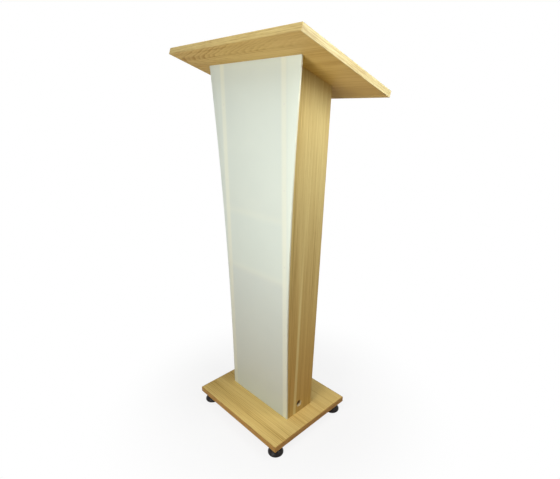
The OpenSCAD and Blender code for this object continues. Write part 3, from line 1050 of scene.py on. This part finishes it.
@dataclass
class LevellingFeet:
    """The four swivel feet, each a moulded pad and the threaded stud whose ball sits in it."""

    pad_r: float = 23.5
    recess: float = 0.6
    tread: float = 4.4
    foot_round: float = 1.0
    rim_h: float = 4.5
    rim_round: float = 0.6
    rim_sweep: float = 62.0
    rim_lap: float = 0.5
    dome_h: float = 16.0
    inside: float = 0.02
    pad_h: float = 20.0
    neck_r: float = 10.5
    neck_round: float = 0.9
    neck_sweep: float = 50.0
    neck_rise: float = 0.7
    mouth_round: float = 0.5
    ball_r: float = 6.5
    ball_z: float = 10.0
    stud_neck_r: float = 4.0
    play: float = 0.4
    lap: float = 0.3
    hex_af: float = 15.0
    hex_top: float = 29.5
    hex_chamfer: float = 1.0
    stud_r: float = 5.0
    stud_top: float = 44.6
    stud_lap: float = 0.2
    pitch: float = 1.5
    ridge_share: float = 0.61
    flank: Pair = (0.06, 0.42)
    columns: int = 37
    lines: int = 121
    weld: float = 0.002
    crease: float = 32.0
    pad_steps: int = 96
    ball_steps: int = 48
    hex_steps: int = 72

    def build(self) -> None:
        """Makes the pad and the stud at each corner."""
        nylon = MOULDED_NYLON.material()
        steel = ZINC_PLATE.material()
        foot = self.hex_top - self.stud_lap
        thread = {
            "Axis X": 0.0,
            "Axis Y": 0.0,
            "Foot Z": foot,
            "Length": self.stud_top - foot,
            "Crest Radius": self.stud_r,
            "Ridge": self.ridge_share * self.pitch,
            "Pitch": self.pitch,
        }
        tree = self._thread_tree(thread)
        for place in FootPlace:
            corner = place.name.lower()
            pad = bmesh.new()
            lathe(pad, self._pad_profile(), place.value, self.pad_steps)
            node = f"{corner}_foot_pad"
            new_piece(f"{node}_moulding", self._finish(pad, nylon), f"{corner}_pad", node)
            stud = bmesh.new()
            lathe(stud, self._ball_profile(), place.value, self.ball_steps)
            lathe(stud, self._hexagon_profile(), place.value, self.hex_steps, self.hex_af / 2)
            thread["Axis X"], thread["Axis Y"] = place.value
            stud.from_mesh(grow(tree, thread, steel))
            node = f"{corner}_foot_stud"
            new_piece(f"{node}_turned", self._finish(stud, steel), f"{corner}_stud", node)

    def _finish(self, shell: bmesh.types.BMesh, material: Material) -> Mesh:
        """Turns a shell into a smooth mesh in its material.

        Args:
            shell: Shell, which is used up.
            material: Finish for all faces.

        Returns:
            The mesh.
        """
        mesh = bpy.data.meshes.new("foot")
        shell.to_mesh(mesh)
        shell.free()
        mesh.materials.append(material)
        # Faces of the grown thread bring a slot number of their own
        mesh.polygons.foreach_set("material_index", [0] * len(mesh.polygons))
        smooth(mesh, self.crease)
        return mesh

    def _pad_profile(self) -> list[Pair]:
        """Draws half of the pad's section.

        Returns:
            Radius and height pairs from the underside to the floor of the socket.
        """
        lift = self.neck_r ** 2 + self.dome_h ** 2 - self.pad_r ** 2 - self.rim_h ** 2
        dome_z = lift / (2 * (self.dome_h - self.rim_h))
        dome_r = math.hypot(self.pad_r, self.rim_h - dome_z)
        socket_r = self.ball_r + self.play
        mouth_r = self.stud_neck_r + self.play
        mouth = math.degrees(math.acos(mouth_r / socket_r))
        first = math.degrees(math.atan2(self.rim_h - dome_z + self.rim_lap, self.pad_r - self.rim_lap))
        last = math.degrees(math.asin((self.dome_h - dome_z) / dome_r))
        rim, neck, lip = self.rim_round, self.neck_round, self.mouth_round
        return [
            (0.0, self.recess),
            (self.pad_r - self.tread - self.recess, self.recess),
            (self.pad_r - self.tread, 0.0),
            *arc((self.pad_r - self.foot_round, self.foot_round), self.foot_round, -90, 0, 6),
            *arc((self.pad_r - rim, self.rim_h - self.rim_lap), rim, 0, self.rim_sweep, 4),
            *arc((0.0, dome_z), dome_r - self.inside, first, last, 18),
            *arc((self.neck_r + neck, self.dome_h + self.neck_rise), neck, 180 + self.neck_sweep, 180, 4),
            *arc((self.neck_r - neck, self.pad_h - neck), neck, 0, 90, 5),
            *arc((mouth_r + lip, self.pad_h - lip), lip, 90, 180, 4),
            *arc((0.0, self.ball_z), socket_r, mouth, -90, 16),
        ]

    def _ball_profile(self) -> list[Pair]:
        """Draws half of the section of the ball and the neck.

        Returns:
            Radius and height pairs from the ball's foot into the hexagon.
        """
        shoulder = math.degrees(math.acos(self.stud_neck_r / self.ball_r))
        end = self.pad_h + self.play + self.lap
        ball = arc((0.0, self.ball_z), self.ball_r, -90, shoulder, 18)
        return [*ball, (self.stud_neck_r, end), (0.0, end)]

    def _hexagon_profile(self) -> list[Pair]:
        """Draws half of the hexagon's section over its corners, chamfered as on a nut.

        Returns:
            Radius and height pairs from its underside to its top.
        """
        low = self.pad_h + self.play
        chamfer = self.hex_chamfer
        corner_r = self.hex_af / 2 / math.cos(math.pi / 6)
        under = [
            (0.0, low),
            (corner_r - chamfer, low),
            (corner_r - chamfer / 2, low + chamfer / 4),
            (corner_r, low + chamfer),
        ]
        return under + [(radius, self.hex_top + low - height) for radius, height in reversed(under)]

    def _thread_tree(self, sizes: Iterable[str]) -> NodeTree:
        """Builds the rule that rolls a unit grid into a threaded rod.

        Args:
            sizes: Names of the thread's sizes.

        Returns:
            A tree whose ridge climbs one pitch each turn, closed at both ends.
        """
        add, size = new_tree("stud_thread", sizes)
        grid = add("GeometryNodeMeshGrid", 1.0, 1.0, self.columns, self.lines)
        round_share, up_share, _ = add(SPLIT, add("GeometryNodeInputPosition")).node.outputs
        turn = add("MULTIPLY", round_share, 2 * math.pi)
        up = add("ADD", up_share, 0.5)
        height = add("MULTIPLY", up, size["Length"])
        # Groove: how far a point lies from the crest of the turn that passes it
        turns = add("DIVIDE", height, size["Pitch"])
        wound = add("SUBTRACT", turns, round_share)
        saw = add("PINGPONG", wound, 0.5)
        cut = add(MAP_RANGE, saw, *self.flank, 0.0, 1.0)
        groove = add("MULTIPLY", cut, size["Ridge"])
        radius = add("SUBTRACT", size["Crest Radius"], groove)
        # The end rows close on the axis
        from_end = add("PINGPONG", up, 0.5)
        inner = add("GREATER_THAN", from_end, 0.5 / (self.lines - 1))
        closed = add("MULTIPLY", radius, inner)
        x, y = (
            add("MULTIPLY_ADD", closed, add(wave, turn), size[axis])
            for wave, axis in (("COSINE", "Axis X"), ("SINE", "Axis Y"))
        )
        z = add("ADD", height, size["Foot Z"])
        place = add(COMBINE, x, y, z)
        rolled = add("GeometryNodeSetPosition", grid, into={"Position": place})
        joined = add("GeometryNodeMergeByDistance", rolled, into={"Distance": self.weld * MM})
        return close_tree(add, size, joined)


@dataclass(frozen=True)
class Softbox:
    """A square white lamp with a soft face, and a grid where its light is kept narrow, in metres."""

    name: str
    at: Triple
    aim: Triple
    size: float
    watts: float
    spread: float = 180.0

    def build(self) -> None:
        """Hangs the lamp."""
        lamp = bpy.data.lights.new(self.name, "AREA")
        lamp.shape = "SQUARE"
        lamp.size = self.size
        lamp.energy = self.watts
        lamp.spread = math.radians(self.spread)
        holder = put(self.name, lamp)
        holder.location = self.at
        holder.rotation_euler = (Vector(self.aim) - Vector(self.at)).to_track_quat("-Z", "Y").to_euler()
        holder.visible_camera = False


LAMPS = (
    Softbox("key_above_front", (0.45, -0.75, 1.95), (0.1, -0.1, 0.2), 0.7, 5.6),
    Softbox("side_near", (0.62, 0.00, 1.20), (0.0, 0.0, 0.95), 0.35, 1.45),
    Softbox("side_behind", (0.95, 0.35, 1.30), (0.0, 0.0, 0.95), 0.5, 6.1),
    Softbox("front_low", (0.10, -0.85, 0.75), (0.0, 0.0, 1.0), 0.5, 1.1),
    Softbox("front_far", (0.25, -1.33, 0.80), (0.0, 0.0, 0.75), 0.6, 8.0),
    Softbox("fill_behind", (-0.60, 1.50, 0.85), (0.0, 0.0, 0.78), 0.5, 1.3, 44.0),
    Softbox("fill_left", (-1.30, 0.30, 1.10), (-0.13, 0.0, 0.76), 0.4, 0.5, 42.0),
    Softbox("front_under", (0.30, -0.60, 0.60), (0.1, -0.1, 1.1), 0.3, 0.6),
    Softbox("top_light", (0.15, -0.30, 2.20), (0.05, -0.12, 0.0), 0.3, 0.8),
    Softbox("reading_light", (0.0, 0.12, 2.10), (0.0, 0.05, 1.1), 0.4, 1.5, 70.0),
)


@dataclass(frozen=True)
class PhotoCamera:
    """A camera at the photograph's viewpoint, in millimetres and degrees, for a picture of 560 by 479."""

    eye: Triple = (874.22, -808.48, 991.11)
    yaw: float = 46.414
    pitch: float = 18.259
    roll: float = -0.366
    focal_px: float = 406.53
    picture_w: float = 560.0
    sensor: float = 36.0
    clip: Pair = (0.01, 100.0)

    def build(self) -> None:
        """Makes the camera and gives it to the scene."""
        yaw, pitch, roll = (math.radians(angle) for angle in (self.yaw, self.pitch, self.roll))
        stand = Matrix.Translation(Vector(self.eye) * MM)
        for angle, axis in ((yaw, "Z"), (math.pi / 2 - pitch, "X"), (roll, "Z")):
            stand = stand @ Matrix.Rotation(angle, 4, axis)
        data = bpy.data.cameras.new("photo_camera")
        data.sensor_fit = "HORIZONTAL"
        data.sensor_width = self.sensor
        data.lens = self.focal_px * self.sensor / self.picture_w
        data.clip_start, data.clip_end = self.clip
        SCENE.camera = put("photo_camera", data)
        SCENE.camera.matrix_world = stand


@dataclass
class Studio:
    """A pale floor, a white surround, soft lamps and the camera, in metres."""

    floor_half: float = 9.0
    shadow_reach: Pair = (0.22, 0.62)
    shadow_lift: float = 0.85
    paint: str = "#f4f4f4"
    bounce: str = "#d2a05c"
    ambient: float = 0.02

    def build(self) -> None:
        """Sets the studio up round the lectern."""
        SCENE.view_settings.view_transform = "Standard"
        self._floor()
        self._surround()
        for lamp in LAMPS:
            lamp.build()
        PhotoCamera().build()

    def _seen(self, add: Add) -> Socket:
        """Tells the rays that show a surface from those that only light the lectern.

        Args:
            add: Adds a node to the floor or the world.

        Returns:
            1 for a ray from the camera, a gloss or a glass, and 0 for any other.
        """
        rays = add("ShaderNodeLightPath").node.outputs
        direct = add("ADD", rays["Is Camera Ray"], rays["Is Glossy Ray"])
        return add("ADD", direct, rays["Is Transmission Ray"], use_clamp=True)

    def _floor(self) -> None:
        """Lays a pale floor that keeps the shadow and is clear from below."""
        mesh = bpy.data.meshes.new("floor")
        h = self.floor_half
        mesh.from_pydata([(-h, -h, 0.0), (h, -h, 0.0), (h, h, 0.0), (-h, h, 0.0)], [], [(0, 1, 2, 3)])
        material, add, place = new_material("white studio floor, painted")
        away = add(VECTOR_MATH, place, operation="LENGTH")
        far = add(MAP_RANGE, away, *self.shadow_reach, self.shadow_lift, 1.0, **SOFT)
        seen = self._seen(add)
        share = add("MULTIPLY", far, seen)
        # The paint is white to the eye and throws a warm light back on the lectern
        tint = add(MIX, seen, self.bounce, self.paint, **COLOUR)
        paint = add("ShaderNodeBsdfDiffuse", tint)
        glow = add("ShaderNodeEmission", WHITE, 1.0)
        white = add("ShaderNodeMixShader", share, paint, glow)
        below = add("ShaderNodeNewGeometry").node.outputs["Backfacing"]
        both = add("ShaderNodeMixShader", below, white, add("ShaderNodeBsdfTransparent"))
        add("ShaderNodeOutputMaterial", both)
        mesh.materials.append(material)
        floor = put("floor", mesh)

    def _surround(self) -> None:
        """Makes the world white to the eye and a soft even light on the lectern."""
        world = bpy.data.worlds.new("white surround")
        world.use_nodes = True
        world.node_tree.nodes.clear()
        add = partial(add_node, world.node_tree)
        soft = add("ShaderNodeBackground", WHITE, self.ambient)
        white = add("ShaderNodeBackground", WHITE, 1.0)
        add("ShaderNodeOutputWorld", add("ShaderNodeMixShader", self._seen(add), soft, white))
        SCENE.world = world


def main() -> None:
    """Dresses the lectern, piece by piece, and sets up the studio."""
    logging.basicConfig(level=logging.INFO, format="%(name)s %(message)s")
    boards = (TOP_BOARD, BASE_BOARD, SidePanels(), Shelves())
    for part in (*boards, FrontSheet(), JointFixings(), LevellingFeet(), Studio()):
        part.build()


if __name__ == "__main__":
    main()
